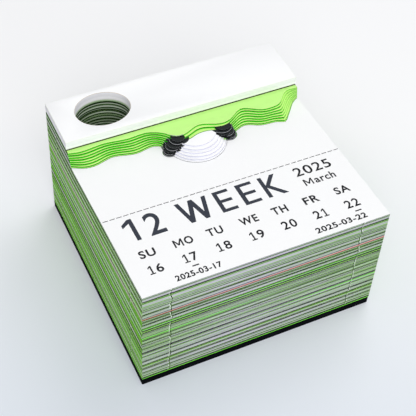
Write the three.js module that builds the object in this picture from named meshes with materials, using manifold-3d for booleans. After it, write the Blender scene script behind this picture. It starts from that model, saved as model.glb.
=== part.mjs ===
// A desk calendar memo pad: a square block of cards glued along its rear edge on a black board. Each card's
// front leaf tears off along a wavy cut and leaves its rear part behind, so a stepped paper relief grows at
// the back, under a two-ply binding strip with an oval hole that holds a pen.
// Millimetres, +Z up, +X to the right, +Y to the rear. The origin is the middle of the underside.
import * as THREE from "three";
import { mergeVertices } from "three/addons/utils/BufferGeometryUtils.js";
import Module from "manifold-3d";

// The pad and its board
const padWidth = 88;
const padDepth = 87.4;
const boardThickness = 3.2;
const glueFilm = 0.4;

// The cards: thickness, the film of air between them, and how much the loose front edges fan up
const cardThickness = 0.31;
const airFilm = 0.02;
const frontLoft = 3.2;
const bendToStrip = 4.4;

// The binding strip on top of the rear edge
const stripDepth = 21;
const stripLowerPly = 1.1;
const stripUpperPly = 2;
const stripGlue = 0.4;
const stripGlueInset = 0.8;

// The pen hole, an oval, and its place from the left and rear edges of the pad
const penHoleWidth = 19.8;
const penHoleDepth = 16.1;
const penHoleFromLeft = 17.6;
const penHoleFromRear = 9.9;

// The stepped relief: layers left behind by torn leaves, and how far the two whole cards stand out in front
const layerCount = 7;
const cardsPerLayer = 2;
const upperCardSetBack = 0.06;
const currentCardLedge = 0.12;
const nextCardLedge = 0.5;
const cutGap = 0.3;
const hillSteps = 64;
const holeSteps = 28;
const knollSteps = 14;

// Edge of the lowest and the highest relief layer: [across from the middle, reach in front of the strip]
const lowHills = [
  [-44, 3.8], [-40, 5.9], [-36.5, 6.3], [-29.4, 4.6], [-21.1, 6.2], [-14.7, 5.2], [-12.9, 5.6], [-11.2, 7],
  [-9.5, 10], [-7, 13], [2.9, 13], [9, 13], [15.7, 9.3], [19.7, 8], [25, 10.2], [32, 11.2], [33.4, 12.1],
  [36.7, 8.9], [41.1, 3.8], [44, 2],
];
const highHills = [
  [-44, 1.4], [-40, 2.2], [-31, 1.6], [-22.6, 2.5], [-15.1, 2.4], [-10.1, 4.8], [-7.6, 7.5], [-4.6, 8.2],
  [2.9, 5.6], [9.1, 7.7], [11.4, 8], [14.1, 7.3], [20.1, 3.8], [26.8, 7.1], [31.1, 7.4], [34.1, 6.6],
  [39, 1.7], [44, 1.5],
];

// Round knolls in front of the hills. Each row is the knoll's middle across, the reach of that middle and
// the radius there. The first row is the card that is still whole, then one row follows for each layer.
const dome = [
  [0.3, 8.6, 10.7], [0.5, 8.4, 10.5], [0.5, 8.2, 9.85], [0.5, 7.8, 9.15], [0.5, 7.4, 8.5], [0.5, 6.6, 7.8],
];
const leftKnoll = [
  [-10.3, 10.4, 2.1], [-10.3, 10.4, 2.1], [-9.8, 10.1, 2.3], [-9, 9.7, 2.5], [-8, 9.3, 2.6],
  [-6.7, 8.3, 2.8], [-6.4, 8.2, 2.3],
];
const rightKnoll = [
  [12.2, 10.3, 2.7], [12.2, 10.3, 2.7], [11.9, 10, 2.9], [11.1, 9.4, 3.4], [10.5, 8.9, 3.8],
  [10.3, 8, 3.9], [10.6, 8.2, 2.9],
];

// The current leaf: a calendar strip in front of a perforation, and the memo leaf behind it
const calendarDepth = 34.2;
const perforationGap = 0.3;

// The stack from the board up: single coloured sheets with runs of plain cards between them. A run is made
// as blocks of a few cards each. The two top cards follow the last run.
const blockCards = 7;
const coloured = { green: 0x55b82a, pink: 0xe58a80 };
const stackPlan = [
  { name: "end_sheet", colour: coloured.green },
  { run: 42 },
  { name: "green_sheet_01", colour: coloured.green },
  { run: 26 },
  { name: "green_sheet_02", colour: coloured.green },
  { run: 14 },
  { name: "green_sheet_03", colour: coloured.green },
  { run: 15 },
  { name: "pink_sheet", colour: coloured.pink },
  { run: 32 },
];

const wasm = await Module();
wasm.setup();

const leftEdge = -padWidth / 2;
const frontEdge = -padDepth / 2;
const rearEdge = padDepth / 2;
const stripFront = rearEdge - stripDepth;
const cardRear = rearEdge - glueFilm;
const bendLine = stripFront - bendToStrip;
const tearOffCards = 2;
const stackCards = stackPlan.reduce((sum, { run = 1 }) => sum + run, 0);
const pageCards = stackCards + tearOffCards;
const allCards = pageCards + layerCount * cardsPerLayer;
const beyond = 1;

// Height of the top of a card, counted from the board, at its glued rear and at its loose front edge
function rearHeight(card) {
  return boardThickness + card * cardThickness;
}
function frontHeight(card) {
  return rearHeight(card) + (frontLoft * Math.min(card, pageCards)) / pageCards;
}
function heightAt(card, y) {
  const along = Math.max(0, (bendLine - y) / (bendLine - frontEdge));
  return rearHeight(card) + (frontHeight(card) - rearHeight(card)) * along;
}
const stripBottom = rearHeight(allCards) + stripGlue;
const stripTop = stripBottom + stripLowerPly + stripUpperPly;

function solidOf(geometry) {
  const plain = geometry.index ? geometry.toNonIndexed() : geometry.clone();
  plain.deleteAttribute("normal");
  plain.deleteAttribute("uv");
  const merged = mergeVertices(plain, 1e-4);
  return new wasm.Manifold(
    new wasm.Mesh({
      numProp: 3,
      vertProperties: merged.attributes.position.array,
      triVerts: new Uint32Array(merged.index.array),
    }),
  );
}

function geometryOf(solid) {
  const mesh = solid.getMesh();
  const geometry = new THREE.BufferGeometry();
  geometry.setAttribute("position", new THREE.BufferAttribute(new Float32Array(mesh.vertProperties), 3));
  geometry.setIndex(new THREE.BufferAttribute(new Uint32Array(mesh.triVerts), 1));
  const faceted = geometry.toNonIndexed();
  faceted.computeVertexNormals();
  return faceted;
}

// An upright prism over a plan outline, tall enough to cut any card
function prism(outline, curveSegments = 1) {
  const depth = stripTop + 2 * beyond;
  const geometry = new THREE.ExtrudeGeometry(outline, { depth, bevelEnabled: false, curveSegments });
  return solidOf(geometry.translate(0, 0, -beyond));
}

function rectangle(x0, x1, y0, y1) {
  return new THREE.Shape([
    new THREE.Vector2(x0, y0),
    new THREE.Vector2(x1, y0),
    new THREE.Vector2(x1, y1),
    new THREE.Vector2(x0, y1),
  ]);
}

const penHoleX = leftEdge + penHoleFromLeft;
const penHoleY = rearEdge - penHoleFromRear;
const penHole = prism(
  new THREE.Shape().absellipse(penHoleX, penHoleY, penHoleWidth / 2, penHoleDepth / 2, 0, 2 * Math.PI, false),
  holeSteps,
);

// A run of cards over the whole pad: flat where it is glued and rising to the loose front edge
function cardSlab(lowerCard, upperCard) {
  const side = new THREE.Shape([
    new THREE.Vector2(frontEdge, frontHeight(lowerCard)),
    new THREE.Vector2(bendLine, rearHeight(lowerCard)),
    new THREE.Vector2(cardRear, rearHeight(lowerCard)),
    new THREE.Vector2(cardRear, rearHeight(upperCard) - airFilm),
    new THREE.Vector2(bendLine, rearHeight(upperCard) - airFilm),
    new THREE.Vector2(frontEdge, frontHeight(upperCard) - airFilm),
  ]);
  const geometry = new THREE.ExtrudeGeometry(side, { depth: padWidth, bevelEnabled: false });
  const turn = new THREE.Matrix4().makeBasis(
    new THREE.Vector3(0, 1, 0),
    new THREE.Vector3(0, 0, 1),
    new THREE.Vector3(1, 0, 0),
  );
  geometry.applyMatrix4(turn);
  return solidOf(geometry.translate(leftEdge, 0, 0));
}

function smoothCurve(points) {
  const curve = new THREE.CubicInterpolant(
    points.map(([x]) => x),
    points.map(([, reach]) => reach),
    1,
  );
  return (x) => curve.evaluate(x)[0];
}
const lowReach = smoothCurve(lowHills);
const highReach = smoothCurve(highHills);

// Reach of the hills of a layer, which step back from the lowest layer to the highest
function hillReach(x, layer) {
  const rise = (Math.max(layer, 1) - 1) / (layerCount - 1);
  return lowReach(x) + (highReach(x) - lowReach(x)) * rise;
}

function hills(layer, grow) {
  const half = padWidth / 2 + beyond;
  const step = (2 * half) / hillSteps;
  const points = [];
  for (let i = 0; i <= hillSteps; i += 1) {
    const x = -half + i * step;
    const slope = (hillReach(x + step / 2, layer) - hillReach(x - step / 2, layer)) / step;
    points.push(new THREE.Vector2(x, stripFront - hillReach(x, layer) - grow * Math.hypot(1, slope)));
  }
  points.push(new THREE.Vector2(half, rearEdge + beyond));
  points.push(new THREE.Vector2(-half, rearEdge + beyond));
  return prism(new THREE.Shape(points));
}

// A knoll in plan: round, and drawn in at its back to a neck that runs into the hills
function knoll([x, reach, radius], grow) {
  const round = radius + grow;
  const neck = round * Math.sin(Math.PI / 4);
  const outline = new THREE.Shape();
  outline.absarc(x, stripFront - reach, round, 0.75 * Math.PI, 2.25 * Math.PI, false);
  outline.lineTo(x + neck, rearEdge);
  outline.lineTo(x - neck, rearEdge);
  return prism(outline, knollSteps);
}

// The part of a card behind its tear-off cut, as seen from above. Layer 0 is a card that is still whole.
function standingPart(layer, grow = 0) {
  let plan = hills(layer, grow);
  for (const rows of [dome, leftKnoll, rightKnoll]) {
    if (layer < rows.length) plan = plan.add(knoll(rows[layer], grow));
  }
  return plan;
}

const pad = new THREE.Group();
pad.name = "calendar_memo_pad";

// A hinge is a group whose origin lies on the hinge's axis, which runs across the pad
function addHinge(holder, y, z) {
  const hinge = new THREE.Group();
  hinge.position.copy(holder.worldToLocal(new THREE.Vector3(0, y, z)));
  holder.add(hinge);
  hinge.updateWorldMatrix(true, false);
  return hinge;
}

function addPiece(name, solid, colour, holder = pad) {
  const origin = holder.worldToLocal(new THREE.Vector3());
  const material = new THREE.MeshStandardMaterial({ color: colour, roughness: 0.85, metalness: 0 });
  const mesh = new THREE.Mesh(geometryOf(solid).translate(origin.x, origin.y, origin.z), material);
  mesh.name = name;
  holder.add(mesh);
}

function twoDigits(number) {
  return String(number).padStart(2, "0");
}

function board(depth, z0, z1, { inset = 0, rear = rearEdge } = {}) {
  const outline = rectangle(leftEdge + inset, leftEdge + padWidth - inset, rear - depth, rear);
  const geometry = new THREE.ExtrudeGeometry(outline, { depth: z1 - z0, bevelEnabled: false });
  return solidOf(geometry.translate(0, 0, z0));
}

// The black board under the pad closes the pen hole at the bottom
addPiece("base_board", board(padDepth, 0, boardThickness), 0x0c0d12);

// The stack of whole cards, pierced by the pen hole
let cardsBelow = 0;
let blocks = 0;
function addCards(name, cards, colour) {
  addPiece(name, cardSlab(cardsBelow, cardsBelow + cards).subtract(penHole), colour);
  cardsBelow += cards;
}
for (const { name, colour, run = 0 } of stackPlan) {
  if (name) addCards(name, 1, colour);
  const parts = Math.ceil(run / blockCards);
  for (let part = 0; part < parts; part += 1) {
    const cards = Math.round(((part + 1) * run) / parts) - Math.round((part * run) / parts);
    blocks += 1;
    addCards("sheet_block_" + twoDigits(blocks), cards, blocks % 2 ? 0x9fae98 : 0x8f9f8b);
  }
}

// The two top cards, each parted by its cut into a standing rear part and a leaf that lifts. A leaf turns
// at its top face, level with the lowest layer where that reaches least.
const hingeReach = Math.min(lowReach(leftEdge), lowReach(leftEdge + padWidth));
function topCard(card, ledge) {
  const slab = cardSlab(card - 1, card);
  return {
    standing: slab.intersect(standingPart(0, ledge)).subtract(penHole),
    leaf: slab.subtract(standingPart(0, ledge + cutGap)),
    hingeY: stripFront - hingeReach,
    hingeZ: rearHeight(card) - airFilm,
  };
}
const nextCard = topCard(pageCards - 1, nextCardLedge);
const nextPageHinge = addHinge(pad, nextCard.hingeY, nextCard.hingeZ);
addPiece("next_page_root", nextCard.standing, 0x8fd65c);
addPiece("next_page_leaf", nextCard.leaf, 0xf6f6f6, nextPageHinge);

// The leaf of the current card is parted again by the perforation, where the calendar strip folds
const perforationY = frontEdge + calendarDepth;
function acrossPad(y0, y1) {
  return prism(rectangle(leftEdge - beyond, leftEdge + padWidth + beyond, y0, y1));
}
const memoPlan = acrossPad(perforationY + perforationGap / 2, rearEdge);
const calendarPlan = acrossPad(frontEdge - beyond, perforationY - perforationGap / 2);
const currentCard = topCard(pageCards, currentCardLedge);
const memoHinge = addHinge(nextPageHinge, currentCard.hingeY, currentCard.hingeZ);
const calendarHinge = addHinge(memoHinge, perforationY, heightAt(pageCards, perforationY) - airFilm);
addPiece("current_page_root", currentCard.standing, 0xa6e86c);
addPiece("memo_leaf", currentCard.leaf.intersect(memoPlan), 0xfafafa, memoHinge);
addPiece("calendar_strip", currentCard.leaf.intersect(calendarPlan), 0xfafafa, calendarHinge);

// The relief that stands on the current card, left behind by leaves already torn off. The cards of a layer
// have the same cut, and the upper ones lie a little further back.
for (let number = 1; number <= layerCount * cardsPerLayer; number += 1) {
  const layer = Math.ceil(number / cardsPerLayer);
  const setBack = upperCardSetBack * ((number - 1) % cardsPerLayer);
  const slab = cardSlab(pageCards + number - 1, pageCards + number);
  const standing = slab.intersect(standingPart(layer, -setBack)).subtract(penHole);
  addPiece("relief_card_" + twoDigits(number), standing, 0xb8f580);
}

// The binding strip: a layer of glue set back from the edges, then two plies, all pierced by the pen hole
const reliefTop = rearHeight(allCards);
const plyTop = stripBottom + stripLowerPly;
const stripEdges = { inset: stripGlueInset, rear: rearEdge - stripGlueInset };
const stripGlueBoard = board(stripDepth - 2 * stripGlueInset, reliefTop, stripBottom, stripEdges);
addPiece("strip_glue", stripGlueBoard.subtract(penHole), 0x4a4f4a);
addPiece("strip_lower_ply", board(stripDepth, stripBottom, plyTop).subtract(penHole), 0xf4f4f6);
addPiece("strip_upper_ply", board(stripDepth, plyTop, stripTop).subtract(penHole), 0xfbfbfb);

// The film of padding glue down the rear edges of the cards
addPiece("spine_glue", board(glueFilm, boardThickness, reliefTop - airFilm), 0xdcdccb);

export default pad;
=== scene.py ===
import math
import random

import bmesh
import bpy
from mathutils import Matrix, Quaternion, Vector, noise


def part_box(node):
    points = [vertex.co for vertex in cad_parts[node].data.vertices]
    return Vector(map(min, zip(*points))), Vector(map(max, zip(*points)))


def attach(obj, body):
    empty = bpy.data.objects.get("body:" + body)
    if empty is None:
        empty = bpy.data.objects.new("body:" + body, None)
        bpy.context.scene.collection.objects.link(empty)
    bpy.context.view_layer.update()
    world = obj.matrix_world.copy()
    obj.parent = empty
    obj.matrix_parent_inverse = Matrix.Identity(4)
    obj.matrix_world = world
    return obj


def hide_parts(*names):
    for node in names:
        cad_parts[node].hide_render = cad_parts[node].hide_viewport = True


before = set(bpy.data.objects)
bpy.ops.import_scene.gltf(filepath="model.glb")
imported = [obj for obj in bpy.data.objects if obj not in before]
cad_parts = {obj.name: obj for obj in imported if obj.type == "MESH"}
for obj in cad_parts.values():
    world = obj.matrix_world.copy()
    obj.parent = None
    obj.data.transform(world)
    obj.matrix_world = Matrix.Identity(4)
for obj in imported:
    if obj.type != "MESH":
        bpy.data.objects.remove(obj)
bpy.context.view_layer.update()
scene = bpy.context.scene
mm = 0.001

# The camera stands in front of the pad and a little to its left, looks steeply down on it through a long
# lens, and leans to one side by a few degrees.
camera_place = Vector((-117.2, -220.9, 308.4)) * mm
camera_aim = Vector((0.30906, 0.58475, -0.75003))
camera_roll = math.radians(3.85)

camera = bpy.data.objects.new("camera", bpy.data.cameras.new("camera"))
camera.data.sensor_width = 36
camera.data.lens = 92
camera.data.clip_start = 0.01
upright = camera_aim.to_track_quat("-Z", "Y")
leaning = upright @ Quaternion((0, 0, 1), camera_roll)
camera.matrix_world = Matrix.Translation(camera_place) @ leaning.to_matrix().to_4x4()
scene.collection.objects.link(camera)
scene.camera = camera
scene.view_settings.view_transform = "Standard"

# The pad stands on a wide sheet of pale studio paper, painted a little bluer and deeper in tone near the
# camera, on the left, as painted shade, and fading to almost white behind the pad.
floor_near_painted_shade = (0.790, 0.812, 0.845, 1)
floor_far = (0.955, 0.955, 0.965, 1)
glow_near_painted_shade = (0.50, 0.65, 0.92, 1)
glow_far = (1, 1, 1, 1)
floor_reach = 1.6
floor_glow = 0.15
fade_turn = math.radians(-62)
fade_from, fade_to = -90 * mm, 70 * mm


def add_node(tree, kind, inputs=None, **settings):
    """A shader node with its settings, each input fed by another node's output or by a plain value."""
    made = tree.nodes.new("ShaderNode" + kind)
    for name, value in settings.items():
        setattr(made, name, value)
    for name, value in (inputs or {}).items():
        if isinstance(value, bpy.types.NodeSocket):
            tree.links.new(value, made.inputs[name])
        else:
            made.inputs[name].default_value = value
    return made


def new_material(name, roughness, specular=0.3):
    """A material with its tree, its surface shader and the piece's own coordinates."""
    material = bpy.data.materials.new(name)
    material.use_nodes = True
    tree = material.node_tree
    surface = tree.nodes["Principled BSDF"]
    surface.inputs["Roughness"].default_value = roughness
    surface.inputs["Specular IOR Level"].default_value = specular
    place = add_node(tree, "TexCoord").outputs["Object"]
    return material, tree, surface, place


def blend_colours(tree, share, first, second, blend_type="MIX"):
    """A mix of two colours, from the first at a share of 0 to the second at 1."""
    mix = add_node(tree, "Mix", {0: share}, data_type="RGBA", blend_type=blend_type)
    for socket, colour in ((mix.inputs[6], first), (mix.inputs[7], second)):
        if isinstance(colour, bpy.types.NodeSocket):
            tree.links.new(colour, socket)
        else:
            socket.default_value = colour
    return mix.outputs[2]


def calculate(tree, operation, *values, clamp=False):
    """The result of one sum or comparison."""
    return add_node(tree, "Math", dict(enumerate(values)), operation=operation, use_clamp=clamp).outputs[0]


def ramp(tree, value, low, high, to_low=0.0, to_high=1.0, clamp=True):
    """A value between two ends, spread out to run from 0 to 1 or between two other ends."""
    ends = {"From Min": low, "From Max": high, "To Min": to_low, "To Max": to_high}
    return add_node(tree, "MapRange", {"Value": value, **ends}, clamp=clamp).outputs[0]


def axes(tree, vector):
    """The separate axes of a place."""
    return add_node(tree, "SeparateXYZ", {"Vector": vector}).outputs


floor_shape = bmesh.new()
bmesh.ops.create_grid(floor_shape, x_segments=8, y_segments=8, size=floor_reach)
floor_mesh = bpy.data.meshes.new("floor")
floor_shape.to_mesh(floor_mesh)
floor_shape.free()
floor = bpy.data.objects.new("floor", floor_mesh)
scene.collection.objects.link(floor)

floor_paper, tree, surface, place = new_material("floor_paper", 0.75, 0.2)
# Painted shade: the paper's colour fades from darker and bluer near the camera to pale behind the pad
turned = add_node(tree, "Mapping", {"Vector": place, "Rotation": (0, 0, fade_turn)}).outputs[0]
fade = ramp(tree, axes(tree, turned)["X"], fade_from, fade_to)
pale = blend_colours(tree, fade, floor_near_painted_shade, floor_far)
tree.links.new(pale, surface.inputs["Base Color"])
rays = add_node(tree, "LightPath").outputs
seen = calculate(tree, "MAXIMUM", rays["Is Camera Ray"], rays["Is Glossy Ray"])
seen = calculate(tree, "MAXIMUM", seen, rays["Is Transmission Ray"])
glow_share = calculate(tree, "MULTIPLY", seen, floor_glow)
# The glow seen by the camera is painted bluer near the camera as shade too
glow_colour = blend_colours(tree, fade, glow_near_painted_shade, glow_far)
glow = add_node(tree, "Emission", {"Color": glow_colour}).outputs[0]
lit_paper = add_node(tree, "MixShader", {0: glow_share, 1: surface.outputs[0], 2: glow}).outputs[0]
tree.links.new(lit_paper, tree.nodes["Material Output"].inputs["Surface"])
floor_mesh.materials.append(floor_paper)

# Even light comes from all round. A large soft lamp behind and to the right gives the pad its soft shadow on
# the left. Another beside the camera lights the cut edges and the inside of the pen hole.
scene.world = bpy.data.worlds.new("studio")
scene.world.use_nodes = True
studio = scene.world.node_tree.nodes["Background"]
studio.inputs["Color"].default_value = (0.965, 0.98, 1.0, 1)
studio.inputs["Strength"].default_value = 0.47

for name, lamp_place, size, watts in (
    ("rear_lamp", Vector((0.55, 0.35, 0.9)), 0.7, 3.4),
    ("front_lamp", Vector((-0.22, -0.77, 0.78)), 0.8, 7.1),
):
    lamp = bpy.data.objects.new(name, bpy.data.lights.new(name, "AREA"))
    lamp.data.size = size
    lamp.data.energy = watts
    facing = (-lamp_place).to_track_quat("-Z", "Y").to_matrix().to_4x4()
    lamp.matrix_world = Matrix.Translation(lamp_place) @ facing
    scene.collection.objects.link(lamp)

# The base is a square of grey board wrapped in matt black paper, cut with the pad in one go, so that its
# corners are only a little rounded. It closes the pen hole at the bottom.
board_corner = 0.4 * mm
board_edge = 0.08 * mm


def soften(shape, edges, radius, segments=2):
    """Rounds off some edges of a shape, and gives back the new faces."""
    rounded = bmesh.ops.bevel(
        shape, geom=edges, affect="EDGES", offset=radius, offset_type="OFFSET", segments=segments,
        profile=0.5, material=-1, clamp_overlap=True, loop_slide=False,
    )
    return rounded["faces"]


def box_shape(low, high):
    """A plain block between two corners."""
    shape = bmesh.new()
    middle = Matrix.Translation((low + high) / 2)
    bmesh.ops.create_cube(shape, size=1, matrix=middle @ Matrix.Diagonal((*(high - low), 1)))
    return shape


def edges_along(shape, axis):
    """The edges of a shape that run for more than a millimetre along an axis."""
    return [edge for edge in shape.edges if abs((edge.verts[0].co - edge.verts[1].co)[axis]) > mm]


def finish_piece(name, shape, materials, body, slot, *nodes):
    """Makes the shape an object of the pad that rides on a body and stands for the nodes."""
    mesh = bpy.data.meshes.new(name)
    shape.to_mesh(mesh)
    shape.free()
    for material in materials:
        mesh.materials.append(material)
    mesh.shade_smooth()
    mesh.set_sharp_from_angle(angle=math.radians(30))
    piece = bpy.data.objects.new(name, mesh)
    scene.collection.objects.link(piece)
    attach(piece, body)
    if nodes:
        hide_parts(*nodes)


def clouds(tree, place, scale, detail):
    """Soft noise between 0 and 1."""
    return add_node(tree, "TexNoise", {"Vector": place, "Scale": scale, "Detail": detail}).outputs[0]


def raise_surface(tree, surface, height, depth):
    """Lifts the surface by a height between 0 and 1, as far as the depth says."""
    raised = add_node(tree, "Bump", {"Height": height, "Distance": depth, "Strength": 1}).outputs[0]
    tree.links.new(raised, surface.inputs["Normal"])


def stretched(tree, place, *scale):
    """A place, drawn out or in along the axes."""
    return add_node(tree, "Mapping", {"Vector": place, "Scale": scale}).outputs[0]


def add_grain(tree, surface, place, size, depth, stretch=(1, 1, 1)):
    """Fine fibres or grain that raise the surface, as long as the stretch says."""
    fibres = clouds(tree, stretched(tree, place, *stretch), 1 / size, 3)
    raise_surface(tree, surface, fibres, depth)


black_paper, tree, surface, place = new_material("black_paper", 0.75, 0.02)
add_grain(tree, surface, place, 0.35 * mm, 0.02 * mm)
worn = ramp(tree, clouds(tree, place, 90, 4), 0.45, 0.8)
black = blend_colours(tree, worn, (0.0018, 0.0024, 0.0036, 1), (0.005, 0.006, 0.008, 1))
tree.links.new(black, surface.inputs["Base Color"])

board = box_shape(*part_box("base_board"))
soften(board, edges_along(board, 2), board_corner, 4)
soften(board, [edge for edge in board.edges if edge.calc_face_angle(0) > math.radians(60)], board_edge)
finish_piece("board_in_black_paper", board, [black_paper], "pad", "black_board", "base_board")

# The cards are die-cut from uncoated card that is printed in green on its face, and lie loose on each other
# except along the rear. Some cling together and others stand apart, so their cut edges show as a run of
# uneven lines: a pale core between inked faces, greyer at the front and greener at the sides, with dark runs
# of painted shade for the gaps between them.
card_thickness = 0.31 * mm
card_slack = 0.012 * mm
block_gap = 0.02 * mm
worst_setback = 0.07 * mm
hole_middle = Vector((-26.4, 33.8)) * mm
hole_size = Vector((19.8, 16.1)) * mm
hole_facets = 56
streak_scale, patch_scale = 30, 26
core_half, ink_half, ink_share = 0.32, 0.48, 0.35
# Registration marks are lines across the cut edges, a dark one with a pale one beside it. Each has its
# distance from the dark one, the least number from 0 to 2 of the cards that carry it, and its ink.
mark_from_corner = 10 * mm
mark_width = 0.17 * mm
mark_sway = 0.45 * mm
mark_wave = 6 * mm
mark_lines = ((0, 0.3, (0.006, 0.016, 0.006, 1)), (0.36 * mm, 1.35, (0.78, 0.83, 0.78, 1)))
face_slot, front_slot, side_slot, hole_slot = range(4)
at_edge = 0.2 * mm
facing = 0.7

stack_names = ("end_sheet", "sheet_block_", "green_sheet_", "pink_sheet")
stack = sorted((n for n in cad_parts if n.startswith(stack_names)), key=lambda n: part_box(n)[0].z)
stack_low, stack_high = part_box("sheet_block_01")
board_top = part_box("base_board")[1].z
strip_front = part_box("strip_lower_ply")[0].y
bend_line = strip_front - 4.4 * mm
chance = random.Random(12)


def thicken(sheet, height):
    """Draws flat faces up into a sheet of some thickness."""
    raised = bmesh.ops.extrude_face_region(sheet, geom=sheet.faces[:])
    upper = [vert for vert in raised["geom"] if isinstance(vert, bmesh.types.BMVert)]
    bmesh.ops.translate(sheet, verts=upper, vec=(0, 0, height))
    bmesh.ops.recalc_face_normals(sheet, faces=sheet.faces)


def pierced_blank(low, high, height):
    """A flat sheet between two corners with the oval pen hole through it."""
    blank = bmesh.new()
    outline = ((low.x, low.y), (high.x, low.y), (high.x, high.y), (low.x, high.y))
    corners = [blank.verts.new((x, y, 0)) for x, y in outline]
    for i in range(4):
        blank.edges.new((corners[i - 1], corners[i]))
    oval = Matrix.Diagonal((hole_size.x / 2, hole_size.y / 2, 1, 1))
    place = Matrix.Translation((hole_middle.x, hole_middle.y, 0)) @ oval
    bmesh.ops.create_circle(blank, segments=hole_facets, radius=1, matrix=place)
    bmesh.ops.triangle_fill(blank, edges=blank.edges, use_beauty=True)
    thicken(blank, height)
    return blank


def cut_across(shape, at, direction):
    """Adds edges where a plane meets the faces of a shape."""
    everything = shape.verts[:] + shape.edges[:] + shape.faces[:]
    bmesh.ops.bisect_plane(shape, geom=everything, plane_co=at, plane_no=direction)


def sort_faces(shape, low, high):
    """Tells a card's printed faces, front edge, side edges and hole apart by their slot."""
    shape.normal_update()
    for face in shape.faces:
        middle = face.calc_center_median()
        if abs(face.normal.z) > facing:
            face.material_index = face_slot
        elif middle.y < low.y + at_edge:
            face.material_index = front_slot
        elif min(middle.x - low.x, high.x - middle.x) < at_edge:
            face.material_index = side_slot
        else:
            face.material_index = hole_slot


card_blank = pierced_blank(stack_low, stack_high, 1)
cut_across(card_blank, (0, bend_line, 0), (0, 1, 0))
sort_faces(card_blank, stack_low, stack_high)
across_edge = card_blank.loops.layers.uv.new("edge")
for face in card_blank.faces:
    for corner in face.loops:
        corner[across_edge].uv = (0.5, corner.vert.co.z)
blank_mesh = bpy.data.meshes.new("card_blank")
card_blank.to_mesh(blank_mesh)
card_blank.free()


def levels(*heights):
    """Heights in millimetres as lengths."""
    return [height * mm for height in heights]


# Heights above the board at which the cut edges look dark with painted shade, light or green
front_gap_shade = levels(
    0.35, 3.8, 6.3, 8.2, 10.2, 14.9, 17.5, 20.5, 22.2, 25.7, 27.8, 30.5, 31.9, 35.9, 37.9, 42.3
)
front_light = levels(
    2.3, 4.7, 7.3, 9.4, 11.1, 13.9, 16.4, 18.5, 21.4, 24.6, 29.9, 31.3, 33.7, 34.8, 37, 39.1, 41
)
front_green = levels(7.2, 12.7, 14.4, 17.9, 22.8, 25.1, 27, 32.8, 40.3, 42.2)
side_gap_shade = levels(0.2, 2, 5, 7.5, 14.9, 17, 19.8, 24.7, 27.8, 29.5, 35, 38, 40.7)
side_light = levels(2.8, 7, 18.7, 23.6, 26.4, 29, 33.5, 36, 39.3)
side_green = levels(1, 3.5, 8.6, 10, 11.4, 12.9, 21, 22.2, 25.9, 30.4, 31.8, 37)
edge_lines = {
    front_slot: ((front_gap_shade, 0, 0.4), (front_light, 1, 0), (front_green, 0.85, 1)),
    side_slot: ((side_gap_shade, 0, 0.4), (side_light, 1, 0), (side_green, 0.85, 1)),
    hole_slot: (),
}
line_reach = {front_slot: 0.3 * mm, side_slot: 0.65 * mm, hole_slot: 0}
# Between them, how many cards in a row look alike, and how green they are: first dark runs of painted
# shade, then light ones
run_lengths = {
    front_slot: ((1, 2, 3), (1, 2, 3, 4)),
    side_slot: ((3, 4, 5), (3, 4, 5)),
    hole_slot: ((2, 3), (1, 2, 2)),
}
usual_green = {
    front_slot: ((0.1, 0.2), (-0.15, 0.28)),
    side_slot: ((0.8, 0.2), (0.8, 0.5)),
    hole_slot: ((0.9, 0.1), (0.4, 0.15)),
}
usual_tone = ((0, 0.14), (0.75, 1))
tone_jitter = 0.1
edge_slots = (front_slot, side_slot, hole_slot)
dice = {slot: random.Random(slot) for slot in edge_slots}
card_runs = {slot: (0, False, 0, 0) for slot in edge_slots}


def nearness(height, places, reach):
    """How near a height is to the nearest of some places, from 0 to 1."""
    gap = min(abs(height - place) for place in places)
    return max(0, 1 - (gap / reach) ** 2)


def edge_look(slot, height):
    """Tone, from dark to light, and greenness of one card's cut edge. A few cards in a row look alike."""
    left, light, tone, greenness = card_runs[slot]
    if left == 0:
        light = not light
        left = dice[slot].choice(run_lengths[slot][light])
        tone = dice[slot].uniform(*usual_tone[light])
        greenness = dice[slot].gauss(*usual_green[slot][light])
    card_runs[slot] = (left - 1, light, tone, greenness)
    tone += dice[slot].uniform(-tone_jitter, tone_jitter)
    for places, shade, hue in edge_lines[slot]:
        near = nearness(height, places, line_reach[slot])
        tone += (shade - tone) * near
        greenness += (hue - greenness) * near
    return min(1, max(0, tone)), min(1, max(0, greenness))


def rise_at(y):
    """Share of a card's rise from its bend, where it is 0, to its front edge, where it is 1."""
    return max(0, (bend_line - y) / (bend_line - stack_low.y))


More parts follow.
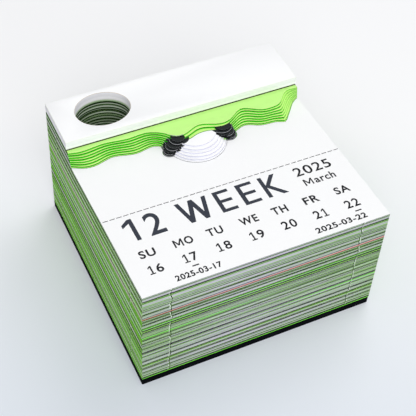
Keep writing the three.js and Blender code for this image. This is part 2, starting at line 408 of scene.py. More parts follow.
def lay_cards(count, rear, front):
    """A run of bent cards between two levels at the glued rear and two at the loose front edge."""
    pack = bmesh.new()
    # The blank is read and emptied once, so that the pack has its edge values before its own are added
    pack.from_mesh(blank_mesh)
    pack.clear()
    tone = pack.faces.layers.float.new("tone")
    greenness = pack.faces.layers.float.new("greenness")
    card_number = pack.faces.layers.float.new("card")
    thickness = card_thickness - card_slack
    gaps = [chance.random() ** 4 + 0.02 for _ in range(count)]
    spare = (front[1] - front[0]) - count * thickness
    for card in range(count):
        rear_level = rear[0] + card * card_thickness
        front_level = front[0] + card * thickness + spare * sum(gaps[:card]) / sum(gaps)
        front_back, left_back, right_back = (worst_setback * chance.random() ** 2 for _ in range(3))
        old_verts, old_faces = len(pack.verts), len(pack.faces)
        pack.from_mesh(blank_mesh)
        pack.verts.ensure_lookup_table()
        pack.faces.ensure_lookup_table()
        for vert in pack.verts[old_verts:]:
            rise = rise_at(vert.co.y)
            upper = vert.co.z > 0.5
            vert.co.z = rear_level + (front_level - rear_level) * rise + upper * thickness
            if vert.co.y < stack_low.y + mm:
                vert.co.y += front_back
            if vert.co.x < stack_low.x + mm:
                vert.co.x += left_back
            elif vert.co.x > stack_high.x - mm:
                vert.co.x -= right_back
        height = front_level - board_top
        looks = [(0, 0)] + [edge_look(slot, height) for slot in edge_slots]
        number = chance.random() * 100
        for face in pack.faces[old_faces:]:
            face[tone], face[greenness] = looks[face.material_index]
            face[card_number] = number
    return pack


def unsettle(tree, value, clouding, amount, clamp=True):
    """A value that rises and falls with noise."""
    around = calculate(tree, "ADD", clouding, -0.5)
    return calculate(tree, "MULTIPLY_ADD", around, amount, value, clamp=clamp)


def edge_material(name, gap_shade, grey, green, ink, streak, greener_ends=0.0, marks=()):
    """The cut edge of a card: pale core, inked faces, dark runs of painted shade between cards, and streaks
    that run along it.
    """
    material, tree, surface, place = new_material(name, 0.85, 0.15)
    values = ("tone", "greenness", "card")
    read = [add_node(tree, "Attribute", attribute_name=value).outputs["Fac"] for value in values]
    tone, greenness, card = read
    spots = axes(tree, place)
    along = calculate(tree, "ADD", spots["X"], spots["Y"])
    lane = add_node(tree, "CombineXYZ", {"X": along, "Y": card}).outputs[0]
    streaks = {"Vector": lane, "Scale": streak_scale, "Detail": 3}
    streaks = add_node(tree, "TexNoise", streaks, noise_dimensions="2D").outputs[0]
    level = unsettle(tree, tone, streaks, streak)
    greener = unsettle(tree, greenness, clouds(tree, place, patch_scale, 2), 1.0, clamp=False)
    from_middle = calculate(tree, "DIVIDE", spots["X"], stack_high.x)
    from_middle = calculate(tree, "MULTIPLY", from_middle, from_middle)
    greener = calculate(tree, "MULTIPLY_ADD", from_middle, greener_ends, greener, clamp=True)
    cut = blend_colours(tree, level, gap_shade, blend_colours(tree, greener, grey, green))
    height = axes(tree, add_node(tree, "UVMap", uv_map="edge").outputs[0])["Y"]
    from_core = calculate(tree, "ABSOLUTE", calculate(tree, "SUBTRACT", height, 0.5))
    whole = blend_colours(tree, ramp(tree, from_core, core_half, ink_half, 0, ink_share), cut, ink)
    kind = calculate(tree, "MODULO", card, 2.0)
    wave = calculate(tree, "MULTIPLY", spots["Z"], 1 / mark_wave)
    wave = add_node(tree, "TexNoise", {"W": wave, "Scale": 1, "Detail": 2}, noise_dimensions="1D").outputs[0]
    sway = ramp(tree, wave, 0.3, 0.7, -mark_sway, mark_sway)
    for axis in marks:
        corner = {"X": stack_high.x, "Y": -stack_low.y}[axis]
        away = calculate(tree, "ABSOLUTE", calculate(tree, "ADD", spots[axis], sway))
        for shift, least_kind, mark_colour in mark_lines:
            near = calculate(tree, "COMPARE", away, corner - mark_from_corner + shift, mark_width)
            chosen = calculate(tree, "GREATER_THAN", kind, least_kind)
            marked = calculate(tree, "MULTIPLY", near, chosen)
            whole = blend_colours(tree, marked, whole, mark_colour)
    tree.links.new(whole, surface.inputs["Base Color"])
    add_grain(tree, surface, place, 0.25 * mm, 0.02 * mm, (1, 1, 3))
    return material


def card_face(name, colour, other, fibre_size=0.4 * mm):
    """The face of uncoated card: soft fibres, and a tone that drifts a little across the sheet."""
    material, tree, surface, place = new_material(name, 0.88, 0.2)
    add_grain(tree, surface, place, fibre_size, 0.012 * mm)
    tint = blend_colours(tree, clouds(tree, place, 140, 5), colour, other)
    tree.links.new(tint, surface.inputs["Base Color"])
    return material


leaf_green = (0.55, 0.94, 0.26, 1)
green_face = card_face("green_card_face", leaf_green, (0.52, 0.91, 0.23, 1))
front_edges = edge_material(
    "front_edges", gap_shade=(0.008, 0.009, 0.010, 1), grey=(0.60, 0.565, 0.68, 1), green=(0.23, 0.49, 0.11, 1),
    ink=(0.06, 0.06, 0.07, 1), streak=0.8, greener_ends=0.32, marks=("X",),
)
side_edges = edge_material(
    "side_edges", gap_shade=(0.002, 0.007, 0.002, 1), grey=(0.78, 0.74, 0.80, 1), green=(0.21, 0.71, 0.012, 1),
    ink=(0.03, 0.09, 0.01, 1), streak=0.5, marks=("Y",),
)
hole_edges = edge_material(
    "hole_edges", gap_shade=(0.007, 0.021, 0.005, 1), grey=(0.78, 0.84, 0.74, 1), green=(0.21, 0.46, 0.10, 1),
    ink=(0.02, 0.05, 0.015, 1), streak=0.6,
)
card_materials = [green_face, front_edges, side_edges, hole_edges]


def sheet_edges(name, colour, dull, clear_from, dull_from):
    """The cut edge of a coloured sheet, which fades to a duller colour towards one side of the pad."""
    material, tree, surface, place = new_material(name, 0.8, 0.2)
    faded = ramp(tree, axes(tree, place)["X"], clear_from * mm, dull_from * mm)
    share = unsettle(tree, faded, clouds(tree, place, 60, 3), 0.5)
    tree.links.new(blend_colours(tree, share, colour, dull), surface.inputs["Base Color"])
    add_grain(tree, surface, place, 0.25 * mm, 0.02 * mm)
    return material


dull_green = (0.24, 0.36, 0.18, 1)
pink_side = sheet_edges("pink_side_edge", (0.66, 0.30, 0.44, 1), (0.75, 0.30, 0.12, 1), 0, 90)
sheet_looks = {
    "end_sheet": sheet_edges("end_sheet_edge", (0.24, 0.98, 0.06, 1), dull_green, 44, 200),
    "pink_sheet": sheet_edges("pink_edge", (0.92, 0.29, 0.26, 1), (0.46, 0.14, 0.05, 1), 30, -44),
}
for number, (clear_from, dull_from) in enumerate(((26, -4), (-16, 8), (20, 70)), 1):
    look = sheet_edges(f"green_edge_{number:02d}", (0.17, 0.82, 0.03, 1), dull_green, clear_from, dull_from)
    sheet_looks[f"green_sheet_{number:02d}"] = look

rear_levels = [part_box(node)[0].z for node in stack] + [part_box("next_page_root")[0].z]
front_levels = [board_top] + [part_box(node)[1].z + block_gap for node in stack]
pink_low = front_levels[stack.index("pink_sheet")] - board_top
# A dark line of painted shade under the pink sheet and a light one above it
front_gap_shade.append(pink_low - card_thickness)
front_light.append(pink_low + card_thickness)
for index, node in enumerate(stack):
    rear = rear_levels[index : index + 2]
    front = front_levels[index : index + 2]
    cards = round((rear[1] - rear[0]) / card_thickness)
    pack = lay_cards(cards, rear, front)
    if node in sheet_looks:
        slot = "pink_card" if node == "pink_sheet" else "green_card"
        look = sheet_looks[node]
        side_look = pink_side if node == "pink_sheet" else look
        finish_piece(node + "_card", pack, [look, look, side_look, look], "pad", slot, node)
    else:
        finish_piece(node.replace("sheet_block", "card_run"), pack, card_materials, "pad", "card_edges", node)

# The two top cards are cut through behind the writing area. What stands behind the cut, and the cards left
# on top of it by torn leaves, form the relief: hills from side to side, a round dome and two dark knolls.
# Cards are cut in pairs: the wall of a pair is dark above, as painted shade, and vivid below, with a fine
# bevel at its rim painted pale as a highlight.
rim_width = 0.12 * mm
foot_reach = 0.3 * mm
slope_from, slope_to = 33.5 * mm, 36 * mm
seam_rim = 0.04 * mm
layer_count = 7
# In millimetres across the pad and out from the strip: the hills' edge on the lowest and highest layer, and
# the discs of the dome and the knolls with their radius, one for each layer from the lowest up
hill_scale = 16
hills_from, hills_to = -15, 16
low_hills = [(-15, 5.2), (-12.9, 5.6), (-11.2, 7), (-9.5, 10), (-7, 13), (9, 13), (16, 9.3)]
high_hills = [
    (-15, 2.4), (-10.1, 4.8), (-7.6, 7.5), (-4.6, 8.2), (2.9, 5.6), (9.1, 7.7), (11.4, 8), (16, 6.2),
]
dome = [
    (0.3, 8.6, 10.7), (0.5, 8.4, 10.5), (0.5, 8.2, 9.85), (0.5, 7.8, 9.15), (0.5, 7.4, 8.5),
    (0.5, 6.6, 7.8),
]
left_knoll = [
    (-10.3, 10.4, 2.1), (-10.3, 10.4, 2.1), (-9.8, 10.1, 2.3), (-9, 9.7, 2.5), (-8, 9.3, 2.6),
    (-6.7, 8.3, 2.8), (-6.4, 8.2, 2.3),
]
right_knoll = [
    (12.2, 10.3, 2.7), (12.2, 10.3, 2.7), (11.9, 10, 2.9), (11.1, 9.4, 3.4), (10.5, 8.9, 3.8),
    (10.3, 8, 3.9), (10.6, 8.2, 2.9),
]
left_print = {"rows": left_knoll + left_knoll[-1:], "spread": 1.3, "stretch": 0.6, "whole": True}
right_print = {"rows": right_knoll, "spread": 0, "stretch": 1.0, "whole": False}
knoll_print = 0.2
dome_print = 0.3
dome_outline = 0.14
dome_reach_slack = 0.3
nearly_whole = {0: 0.5}
pale_paper = (0.96, 0.96, 0.97, 1)
knoll_black = (0.020, 0.024, 0.024, 1)
ledge_green = (0.60, 0.97, 0.24, 1)
foot_painted_shade = (0.13, 0.70, 0.006, 1)
strip_shade = (0.045, 0.05, 0.012, 1)
strip_shadow = 0.13 * mm
kerf_green = (0.10, 0.55, 0.02, 1)
outline_green = (0.02, 0.26, 0.01, 1)
kinds = hill, round_dome, knoll = range(3)
top_slot, cut_side_slot, cut_hole_slot, first_wall_slot = range(4)
first_rim_slot = first_wall_slot + len(kinds)


def hill_line(tree, across, points):
    """Reach of the hills in front of the strip, as a smooth curve over the width behind the dome."""
    curve = add_node(tree, "FloatCurve", {"Value": across})
    line = curve.mapping.curves[0]
    shares = [((x - hills_from) / (hills_to - hills_from), reach / hill_scale) for x, reach in points]
    line.points[0].location, line.points[1].location = shares[0], shares[-1]
    for spot in shares[1:-1]:
        line.points.new(*spot)
    curve.mapping.update()
    return curve.outputs[0]


def knoll_discs(printed, layer):
    """The discs of a knoll on one layer, as far as it has any: two that overlap where it is spread."""
    for x, reach, radius in printed["rows"][layer : layer + 1]:
        for shift in sorted({0, printed["spread"] * (1 < layer < len(dome))}):
            yield x + shift, reach, radius + knoll_print


def disc_mask(tree, spots, x, reach, radius, stretch=1.0):
    """1 inside a disc of the relief's plan, which may be drawn out towards the rear."""
    aside = calculate(tree, "SUBTRACT", spots["X"], x * mm)
    behind = calculate(tree, "SUBTRACT", spots["Y"], strip_front - reach * mm)
    rearward = calculate(tree, "MAXIMUM", behind, 0.0)
    drawn = calculate(tree, "MULTIPLY_ADD", rearward, stretch - 1, behind)
    flat = add_node(tree, "CombineXYZ", {"X": aside, "Y": drawn}).outputs[0]
    away = add_node(tree, "VectorMath", {0: flat}, operation="LENGTH").outputs["Value"]
    return calculate(tree, "LESS_THAN", away, radius * mm)


def relief_face(layer):
    """Printed face of one layer: green hills, the white dome in front of them and near-black knolls, with
    painted shade at the foot of the walls and under the strip.
    """
    material, tree, surface, place = new_material(f"relief_face_{layer}", 0.86, 0.2)
    spots = axes(tree, place)
    colour = {0: kerf_green, layer_count: leaf_green}.get(layer, ledge_green)
    beyond = 1.0
    if layer < layer_count:
        across = ramp(tree, spots["X"], hills_from * mm, hills_to * mm)
        low, high = hill_line(tree, across, low_hills), hill_line(tree, across, high_hills)
        rise = (max(layer, 1) - 1) / (layer_count - 1)
        hills = add_node(tree, "Mix", {0: rise, 2: low, 3: high}).outputs[0]
        reach = ramp(tree, spots["Y"], strip_front, strip_front - hill_scale * mm, clamp=False)
        beyond = calculate(tree, "GREATER_THAN", reach, hills)
        # Painted shade: the ledge turns vivid green where the walls above hide it, less so on the last slope
        hidden = add_node(tree, "AmbientOcclusion", {"Distance": foot_reach}, samples=8).outputs["AO"]
        slope = ramp(tree, spots["X"], slope_from, slope_to, 1, 0.3)
        foot = calculate(tree, "MULTIPLY", ramp(tree, hidden, 0.88, 0.7), slope)
        colour = blend_colours(tree, foot, colour, foot_painted_shade)
    else:
        # Painted shadow: the top card is painted dark just in front of the strip, under its overhang
        under_strip = calculate(tree, "GREATER_THAN", spots["Y"], strip_front - strip_shadow)
        colour = blend_colours(tree, under_strip, colour, strip_shade)
    if layer < len(dome):
        x, dome_reach, radius = dome[layer]
        on_dome = disc_mask(tree, spots, x, dome_reach, radius + dome_print + nearly_whole.get(layer, 0))
        white = calculate(tree, "MULTIPLY", beyond, on_dome)
        colour = blend_colours(tree, white, colour, pale_paper)
        if layer == len(dome) - 1:
            border = calculate(tree, "COMPARE", reach, hills, dome_outline / hill_scale)
            outline = calculate(tree, "MULTIPLY", border, on_dome)
            colour = blend_colours(tree, outline, colour, outline_green)
    if layer < layer_count:
        for printed in (left_print, right_print):
            for disc in knoll_discs(printed, layer):
                on_knoll = disc_mask(tree, spots, *disc, printed["stretch"])
                if not printed["whole"]:
                    on_knoll = calculate(tree, "MULTIPLY", on_knoll, beyond)
                colour = blend_colours(tree, on_knoll, colour, knoll_black)
    faded = ramp(tree, clouds(tree, place, 160, 4), 0, 1, 0.93, 1.03)
    tinted = blend_colours(tree, 1.0, colour, faded, "MULTIPLY")
    tree.links.new(tinted, surface.inputs["Base Color"])
    add_grain(tree, surface, place, 0.35 * mm, 0.012 * mm)
    return material


def cut_wall(name, above, below, painted_light=None):
    """The die-cut wall of a pair of cards, darker on one card as painted shade, vivid on the other, with
    painted light on the last slope.
    """
    material, tree, surface, place = new_material(name, 0.86, 0.1)
    upper = axes(tree, add_node(tree, "UVMap", uv_map="edge").outputs[0])["X"]
    share = unsettle(tree, upper, clouds(tree, place, 900, 2), 0.3)
    colour = blend_colours(tree, share, below, above)
    if painted_light:
        slope = ramp(tree, axes(tree, place)["X"], slope_from, slope_to, 0, 0.45)
        colour = blend_colours(tree, slope, colour, painted_light)
    tree.links.new(colour, surface.inputs["Base Color"])
    add_grain(tree, surface, place, 0.2 * mm, 0.015 * mm)
    return material


# The hill and dome walls are painted darker on their upper card as shade, the hill walls lighter on the last
# slope
walls = [
    cut_wall("hill_wall", (0.0005, 0.012, 0.003, 1), (0.02, 0.66, 0.001, 1), ledge_green),
    cut_wall("dome_wall", (0.55, 0.55, 0.72, 1), (0.88, 0.88, 0.96, 1)),
    cut_wall("knoll_wall", (0.003, 0.003, 0.004, 1), (0.006, 0.007, 0.008, 1)),
]
# The rims of the hills and knolls are painted lighter than their faces, as painted highlights
highlight_rims = [
    card_face("hill_rim_painted_highlight", (0.74, 1.0, 0.33, 1), (0.66, 0.98, 0.28, 1), 0.2 * mm),
    card_face("dome_rim", (0.95, 0.95, 0.97, 1), (0.92, 0.92, 0.95, 1), 0.2 * mm),
    card_face("knoll_rim_painted_highlight", (0.50, 0.50, 0.53, 1), (0.34, 0.35, 0.37, 1), 0.2 * mm),
]
kerf_wall = cut_wall("kerf_wall", (0.16, 0.16, 0.17, 1), (0.08, 0.08, 0.085, 1))


def from_hole(spot):
    """How far a place is from the middle of the pen hole, whose rim is at 0.5."""
    return math.hypot((spot.x - hole_middle.x) / hole_size.x, (spot.y - hole_middle.y) / hole_size.y)


def copied_card(node, pair_place=0.5):
    """A copy of a card's solid in whole faces, with the values that its cut edges are drawn by."""
    card = bmesh.new()
    card.from_mesh(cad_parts[node].data)
    bmesh.ops.remove_doubles(card, verts=card.verts, dist=0.001 * mm)
    bmesh.ops.dissolve_limit(card, angle_limit=math.radians(0.4), verts=card.verts, edges=card.edges)
    card.normal_update()
    across_edge = card.loops.layers.uv.new("edge")
    for face in card.faces:
        heights = [corner.vert.co.z for corner in face.loops]
        middle_height = sum(heights) / len(heights)
        for corner in face.loops:
            corner[across_edge].uv = (pair_place, float(corner.vert.co.z > middle_height))
    return card


def draw_edges(card, looks):
    """Gives the cut edges of one card their tone and greenness, by the slot of their faces."""
    tone = card.faces.layers.float.new("tone")
    greenness = card.faces.layers.float.new("greenness")
    card_number = card.faces.layers.float.new("card")
    number = chance.random() * 100
    for face in card.faces:
        face[tone], face[greenness] = looks.get(face.material_index, (0.5, 0.4))
        face[card_number] = number


def part_of_relief(spot, layer):
    """Whether a cut wall belongs to a knoll, to the dome or to the hills."""
    x, reach = spot.x / mm, (strip_front - spot.y) / mm
    for printed in (left_print, right_print):
        for knoll_x, knoll_reach, radius in knoll_discs(printed, layer):
            behind = knoll_reach - reach
            drawn = behind * (printed["stretch"] if behind > 0 else 1)
            if math.hypot(x - knoll_x, drawn) < radius + nearly_whole.get(layer, 0):
                return knoll
    if layer < len(dome):
        dome_x, dome_reach, radius = dome[layer]
        away = math.hypot(x - dome_x, reach - dome_reach) - radius
        if abs(away) < dome_reach_slack + nearly_whole.get(layer, 0) and reach > dome_reach - radius / 2:
            return round_dome
    return hill


def standing_card(node, layer, upper):
    """The rear part of a card, with its walls and rims told apart by the part of the relief they bound."""
    low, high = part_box(node)
    card = copied_card(node, float(upper))
    upper_rim = []
    for edge in card.edges:
        if len(edge.link_faces) == 2:
            steep = min(abs(face.normal.z) for face in edge.link_faces)
            lifted = max(face.normal.z for face in edge.link_faces)
            if steep < 0.3 and lifted > 0.9:
                upper_rim.append(edge)
    rim_faces = set(soften(card, upper_rim, rim_width if upper else seam_rim, 1))
    for face in card.faces:
        middle = face.calc_center_median()
        if face not in rim_faces and abs(face.normal.z) > facing:
            face.material_index = top_slot
        elif min(middle.x - low.x, high.x - middle.x) < at_edge / 2:
            face.material_index = cut_side_slot
        elif from_hole(middle) < 0.51:
            face.material_index = cut_hole_slot
        elif face in rim_faces and upper:
            face.material_index = first_rim_slot + part_of_relief(middle, layer)
        else:
            face.material_index = first_wall_slot + part_of_relief(middle, layer)
    side_look = edge_look(side_slot, high.z - board_top)
    draw_edges(card, {cut_side_slot: side_look, cut_hole_slot: edge_look(hole_slot, 0)})
    return card


for layer in range(1, layer_count + 1):
    looks = [relief_face(layer), side_edges, hole_edges] + walls + highlight_rims
    for upper, number in enumerate((2 * layer - 1, 2 * layer)):
        node = f"relief_card_{number:02d}"
        shape = standing_card(node, layer, bool(upper))
        finish_piece(f"relief_step_{number:02d}", shape, looks, "pad", "relief_card", node)
whole_looks = [relief_face(0), side_edges, hole_edges, walls[hill], kerf_wall, walls[knoll]] + highlight_rims
for upper, node in enumerate(("next_page_root", "current_page_root")):
    shape = standing_card(node, 0, bool(upper))
    finish_piece(node + "_card", shape, whole_looks, "pad", "relief_card", node)

# The leaves of the two top cards are white, blank behind the perforation and printed as a calendar in front
# of it. The perforation is a row of slits: short bridges of card hold the calendar strip to the memo leaf.
slit_count = 37
bridge_share = 0.22
bridge_length = 0.29 * mm
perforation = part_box("calendar_strip")[1].y

white_face = card_face("white_card_face", (0.965, 0.965, 0.965, 1), (0.95, 0.95, 0.955, 1))
cut_white = card_face("white_card_cut", (0.60, 0.61, 0.64, 1), (0.48, 0.50, 0.52, 1), 0.2 * mm)
# The walls of the slits are painted near-black as the shade inside them
slit_painted_shade = card_face("perforation_painted_shade", (0.045, 0.045, 0.05, 1), (0.08, 0.08, 0.09, 1), 0.2 * mm)
leaf_materials = [white_face, front_edges, side_edges, cut_white, slit_painted_shade]
cut_slot, slit_slot = 3, 4


def page_leaf(node):
    """A leaf with its printed faces, its trimmed edges, its cut and its perforated edge told apart."""
    low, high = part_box(node)
    leaf = copied_card(node)
    for face in leaf.faces:
        middle = face.calc_center_median()
        if abs(face.normal.z) > facing:
            face.material_index = face_slot
        elif middle.y < stack_low.y + at_edge:
            face.material_index = front_slot
        elif min(middle.x - low.x, high.x - middle.x) < at_edge:
            face.material_index = side_slot
        elif abs(middle.y - perforation) < mm and node != "next_page_leaf":
            face.material_index = slit_slot
        else:
            face.material_index = cut_slot
    draw_edges(leaf, {side_slot: (0.5, 0.5), front_slot: (0.7, 0.2)})
    return leaf


def add_bridges(strip, low, high):
    """Draws a row of short bridges out of the rear edge of the calendar strip."""
    pitch = (high.x - low.x) / slit_count
    for slit in range(slit_count):
        for share in (0, bridge_share):
            at = low.x + (slit + share) * pitch
            if at > low.x:
                cut_across(strip, (at, 0, 0), (1, 0, 0))
    bridges = []
    for face in strip.faces:
        middle = face.calc_center_median()
        share = (middle.x - low.x) / pitch % 1
        if face.normal.y > facing and share < bridge_share:
            bridges.append(face)
    drawn = bmesh.ops.extrude_discrete_faces(strip, faces=bridges)
    verts = {vert for face in drawn["faces"] for vert in face.verts}
    bmesh.ops.translate(strip, verts=list(verts), vec=(0, bridge_length, 0))
    strip.normal_update()
    for face in strip.faces:
        if face.normal.z > facing:
            face.material_index = face_slot


next_card, memo_card, calendar_card = map(page_leaf, ("next_page_leaf", "memo_leaf", "calendar_strip"))
finish_piece("next_page_card", next_card, leaf_materials, "next_page", "page_card", "next_page_leaf")
finish_piece("memo_card", memo_card, leaf_materials, "memo_page", "page_card", "memo_leaf")
add_bridges(calendar_card, *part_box("calendar_strip"))
finish_piece("calendar_card", calendar_card, leaf_materials, "calendar_fold", "page_card", "calendar_strip")

# The calendar is printed flat in dark grey ink: the week's number, the year and the month, and the seven
# days with their dates. Two days are marked by a short dash and have their full date in figures below it.
ink_film = 0.012 * mm
# Lower and upper ends of the rows of print, in millimetres from the front edge
week_row, month_row, day_row, date_row = (22.4, 32.2), (22.4, 25.5), (14.6, 17.9), (7.5, 11.1)
first_day, day_pitch = -38.2, 11.75
figure_gap = 0.5


def printing_ink(name, colour, other):
    """Flat ink with a faint unevenness in how well it covers the card."""
    material, tree, surface, place = new_material(name, 0.6, 0.2)
    tint = blend_colours(tree, clouds(tree, place, 2500, 2), colour, other)
    tree.links.new(tint, surface.inputs["Base Color"])
    return material


ink_grey = printing_ink("slate_ink", (0.030, 0.036, 0.052, 1), (0.042, 0.048, 0.066, 1))
ink_black = printing_ink("black_ink", (0.006, 0.007, 0.010, 1), (0.012, 0.013, 0.017, 1))


def press(sheet, flat, left, right, bottom, top, ink):
    """Fits flat letters to a box of the page: across from the middle, up from the front edge."""
    xs = [vert.co.x for vert in flat.vertices]
    ys = [vert.co.y for vert in flat.vertices]
    for vert in flat.vertices:
        across = (vert.co.x - min(xs)) / (max(xs) - min(xs))
        up = (vert.co.y - min(ys)) / (max(ys) - min(ys))
        vert.co.x = (left + (right - left) * across) * mm
        vert.co.y = stack_low.y + (bottom + (top - bottom) * up) * mm
    for face in flat.polygons:
        face.material_index = ink
    sheet.from_mesh(flat)
    bpy.data.meshes.remove(flat)


def set_type(sheet, words, left, right, bottom, top, weight=0.0, spacing=1.0, ink=1):
    """Prints letters of a plain sans-serif face, as wide and as tall as the box."""
    lettering = bpy.data.curves.new("lettering", "FONT")
    lettering.body = words
    lettering.space_character = spacing
    lettering.offset = weight
    lettering.extrude = 0.5
    lettering.resolution_u = 6
    setting = bpy.data.objects.new("lettering", lettering)
    scene.collection.objects.link(setting)
    flat = bpy.data.meshes.new_from_object(setting.evaluated_get(bpy.context.evaluated_depsgraph_get()))
    bpy.data.objects.remove(setting)
    bpy.data.curves.remove(lettering)
    press(sheet, flat, left, right, bottom, top, ink)


def set_outline(sheet, outline, left, right, bottom, top, ink):
    """Prints one letter or figure that is given by the corners of its outline."""
    figure = bmesh.new()
    figure.faces.new([figure.verts.new((x, y, 0)) for x, y in outline])
    thicken(figure, 0.5)
    flat = bpy.data.meshes.new("outline")
    figure.to_mesh(flat)
    figure.free()
    press(sheet, flat, left, right, bottom, top, ink)


def set_w(sheet, left, right, bottom, top, stroke, ink=1):
    """Prints a capital W with blunt points and a middle as tall as its arms."""
    tall, wide = top - bottom, right - left
    half = stroke / 2
    valley, peak = 0.27 * wide, wide / 2
    join = tall * half / (valley - half)
    left_half = [(stroke, tall), (0, tall), (valley - half, 0), (valley + half, 0), (peak, tall - join)]
    right_half = [(wide - x, y) for x, y in reversed(left_half[:-1])]
    inside = [(wide - valley, join), (peak + half, tall), (peak - half, tall), (valley, join)]
    set_outline(sheet, left_half + right_half + inside, left, right, bottom, top, ink)


def set_m(sheet, left, right, bottom, top, stem, ink=1):
    """Prints a capital M with upright stems."""
    tall, wide = top - bottom, right - left
    fork, low = wide / 2, 0.2 * tall
    left_half = [(0, tall), (0, 0), (stem, 0), (stem, tall - 1.7 * stem), (fork - 0.45 * stem, low)]
    right_half = [(wide - x, y) for x, y in reversed(left_half)]
    inside = [(wide - stem, tall), (fork, low + 1.5 * stem), (stem, tall)]
    set_outline(sheet, left_half + right_half + inside, left, right, bottom, top, ink)


def set_one(sheet, left, right, bottom, top, stem, ink=1, foot=0.0):
    """Prints a figure one: a stem with a slanted flag, and where asked with a foot that reaches out."""
    tall, wide = top - bottom, right - left
    flag, bar = 0.19 * tall, 0.85 * stem
    back = wide - foot
    outline = [(back, tall), (back - stem, tall), (0, tall - flag)]
    outline += [(0, tall - flag - stem), (back - stem, tall - stem * 1.25)]
    if foot:
        outline += [(back - stem, bar), (0, bar), (0, 0), (wide, 0), (wide, bar), (back, bar)]
    else:
        outline += [(back - stem, 0), (back, 0)]
    set_outline(sheet, outline, left, right, bottom, top, ink)


def set_number(sheet, number, left, right, bottom, top, weight):
    """Prints a number of two figures, one beside the other."""
    wide = (right - left - figure_gap) / 2
    for place, figure in enumerate(number):
        start = left + place * (wide + figure_gap)
        if figure == "1":
            set_one(sheet, start + wide * 0.1, start + wide * 0.9, bottom, top, 0.52, foot=0.6)
        else:
            set_type(sheet, figure, start, start + wide, bottom, top, 0 if figure == "4" else weight)


def lay_on_page(sheet, node):
    """Lowers the letters onto the sloping face of a page."""
    front_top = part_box(node)[1].z
    hinge_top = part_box(node.replace("calendar_strip", "memo_leaf"))[0].z + card_thickness - block_gap
    for vert in sheet.verts:
        page = hinge_top + (front_top - hinge_top) * rise_at(vert.co.y)
        vert.co.z = page + (ink_film if vert.co.z > 0 else 0.001 * mm)
    bmesh.ops.remove_doubles(sheet, verts=sheet.verts, dist=0.0001 * mm)
    bmesh.ops.recalc_face_normals(sheet, faces=sheet.faces)


def print_calendar(week, dates, marked):
    """One week's words and numbers."""
    sheet = bmesh.new()
    set_one(sheet, -38.6, -34.6, *week_row, 1.45, 0)
    set_type(sheet, week, -31.2, -25.5, *week_row, 0.012, ink=0)
    set_w(sheet, -19.4, -8.2, *week_row, 1.5, 0)
    letters = (("E", -5.8, -0.1, 0.002), ("E", 2.6, 8.6, 0.002), ("K", 11.1, 18.5, 0.01))
    for letter, left, right, weight in letters:
        set_type(sheet, letter, left, right, *week_row, weight, ink=0)
    set_type(sheet, "2025", 24.1, 37.9, 27.4, 31.6, 0.012, 1.1)
    set_m(sheet, 25.0, 28.2, *month_row, 0.5)
    set_type(sheet, "arch", 28.9, 36.7, 22.35, 25.55, 0.022, 1.1)
    days = ("SU", "MO", "TU", "WE", "TH", "FR", "SA")
    for number, (day, date) in enumerate(zip(days, dates)):
        left = first_day + number * day_pitch
        if day == "MO":
            set_m(sheet, left + 0.1, left + 3.2, *day_row, 0.53)
            set_type(sheet, "O", left + 3.8, left + 6.7, *day_row, 0.03)
        else:
            set_type(sheet, day, left, left + 5.5 + 0.9 * (day == "WE"), *day_row, 0.026, 1.15)
        set_number(sheet, date, left + 0.1, left + 5.2, *date_row, 0.018)
    for day, caption, left, right in marked:
        dash = first_day + day * day_pitch + 1.8
        set_type(sheet, "-", dash, dash + 2.3, 5.4, 5.9)
        set_type(sheet, caption, left, right, 1.8, 4.2, 0.03, 1.1)
    return sheet


marked_days = ((1, "2025-03-17", -31.5, -15.8), (6, "2025-03-22", 17.9, 36.7))
calendar_print = print_calendar("2", ("16", "17", "18", "19", "20", "21", "22"), marked_days)
lay_on_page(calendar_print, "calendar_strip")
finish_piece("calendar_print", calendar_print, [ink_grey, ink_black], "calendar_fold", "page_card")
next_print = print_calendar("3", ("23", "24", "25", "26", "27", "28", "29"), ())
lay_on_page(next_print, "next_page_leaf")
finish_piece("next_page_print", next_print, [ink_grey, ink_black], "next_page", "page_card")

# The binding strip is glued over the rear ends of the cards: glue set back from the edges and painted dark
# near its front as shadow, a white board and a thicker one on top of it, whose front is painted faintly green
# as a reflection and whose sides and hole are painted lavender-grey as shade. A cream line shows along its
# upper rim.
ply_edge = 0.1 * mm
ply_rim, ply_hole_rim = hole_slot + 1, hole_slot + 2


def strip_material(name, colour, other):
    """Smooth coated board with a faint drift in its whiteness."""
    material, tree, surface, place = new_material(name, 0.55, 0.25)
    add_grain(tree, surface, place, 0.6 * mm, 0.006 * mm)
    tint = blend_colours(tree, clouds(tree, place, 70, 3), colour, other)
    tree.links.new(tint, surface.inputs["Base Color"])
    return material


strip_white = strip_material("strip_white", (0.975, 0.975, 0.98, 1), (0.96, 0.965, 0.97, 1))
front_white = strip_material("strip_front_white", (0.97, 0.975, 0.98, 1), (0.95, 0.955, 0.97, 1))
# The upper ply's front is painted faintly green as a reflection of the relief
front_green = strip_material("strip_front_painted_green_reflection", (0.87, 0.905, 0.87, 1), (0.90, 0.925, 0.90, 1))
# The upper ply's sides and hole wall are painted lavender-grey as shade
side_painted_shade = strip_material("strip_side_painted_shade", (0.76, 0.75, 0.80, 1), (0.82, 0.81, 0.85, 1))
side_white = strip_material("strip_side_white", (0.88, 0.88, 0.91, 1), (0.92, 0.92, 0.94, 1))
hole_painted_shade = strip_material("strip_hole_painted_shade", (0.88, 0.87, 0.92, 1), (0.94, 0.93, 0.96, 1))
hole_white = strip_material("strip_hole_white", (0.99, 0.98, 1.0, 1), (0.98, 0.97, 1.0, 1))
rim_cream = strip_material("strip_rim_cream", (0.86, 0.93, 0.74, 1), (0.88, 0.93, 0.80, 1))
rim_tan = strip_material("strip_hole_rim_tan", (0.56, 0.47, 0.34, 1), (0.66, 0.56, 0.44, 1))

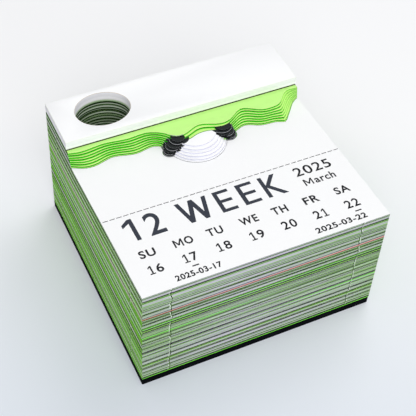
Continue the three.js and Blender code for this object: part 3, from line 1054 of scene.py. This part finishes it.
ply_materials = {
    "strip_lower_ply": [strip_white, front_white, side_white, hole_white, front_white, hole_white],
    "strip_upper_ply": [strip_white, front_green, side_painted_shade, hole_painted_shade, rim_cream, rim_tan],
}
for node, materials in ply_materials.items():
    low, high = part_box(node)
    ply = pierced_blank(low, high, high.z - low.z)
    bmesh.ops.translate(ply, verts=ply.verts, vec=(0, 0, low.z))
    sort_faces(ply, low, high)
    upper_rim = []
    for edge in ply.edges:
        if edge.verts[0].co.z > high.z - 0.01 * mm and edge.calc_face_angle(0) > math.radians(60):
            upper_rim.append(edge)
    for face in soften(ply, upper_rim, ply_edge):
        in_hole = from_hole(face.calc_center_median()) < 0.52
        face.material_index = ply_hole_rim if in_hole else ply_rim
    finish_piece(node + "_board", ply, materials, "pad", "strip_card", node)

# Painted shadow: the glue is near-black for its first 1.2 mm behind the strip's front, pale further in
painted_shadow_depth = 1.2 * mm
glue_painted_shadow, tree, surface, place = new_material("glue_with_painted_shadow", 0.5, 0.3)
smear = clouds(tree, place, 300, 3)
glue_colour = blend_colours(tree, smear, (0.012, 0.015, 0.008, 1), (0.035, 0.04, 0.022, 1))
back = axes(tree, place)["Y"]
inside = calculate(tree, "GREATER_THAN", back, strip_front + painted_shadow_depth)
glue_colour = blend_colours(tree, inside, glue_colour, (0.80, 0.80, 0.76, 1))
tree.links.new(glue_colour, surface.inputs["Base Color"])
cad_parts["strip_glue"].data.materials.clear()
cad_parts["strip_glue"].data.materials.append(glue_painted_shadow)

# Padding glue is brushed over the rear edges of all the cards and dries to a thin, slightly wavy skin that
# shows the cards under it.
ripple_depth = 0.12 * mm
brush_depth = 0.05 * mm
low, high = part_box("spine_glue")
skin = box_shape(low, high)
for axis, cuts in ((0, 80), (2, 60)):
    bmesh.ops.subdivide_edges(skin, edges=edges_along(skin, axis), cuts=cuts, use_grid_fill=True)
for vert in skin.verts:
    if vert.co.y > high.y - 0.01 * mm:
        wave = noise.noise(Vector((vert.co.x * 60, 0, vert.co.z * 240))) + noise.noise(vert.co * 500) / 2
        vert.co.y -= ripple_depth * min(1, max(0, 0.5 + 0.6 * wave))
skin_glue, tree, surface, place = new_material("brushed_padding_glue", 0.42, 0.5)
brushed = clouds(tree, stretched(tree, place, 0.15, 1, 1), 900, 4)
cards_below = clouds(tree, stretched(tree, place, 0.02, 0.02, 1), 1500, 2)
glue_tint = blend_colours(tree, brushed, (0.80, 0.80, 0.72, 1), (0.90, 0.90, 0.86, 1))
see_cards = ramp(tree, cards_below, 0.35, 0.7, 0, 0.35)
glue_over = blend_colours(tree, see_cards, glue_tint, (0.5, 0.66, 0.42, 1))
tree.links.new(glue_over, surface.inputs["Base Color"])
raise_surface(tree, surface, calculate(tree, "ADD", brushed, cards_below), brush_depth)
finish_piece("padding_glue_skin", skin, [skin_glue], "pad", "padding_glue", "spine_glue")
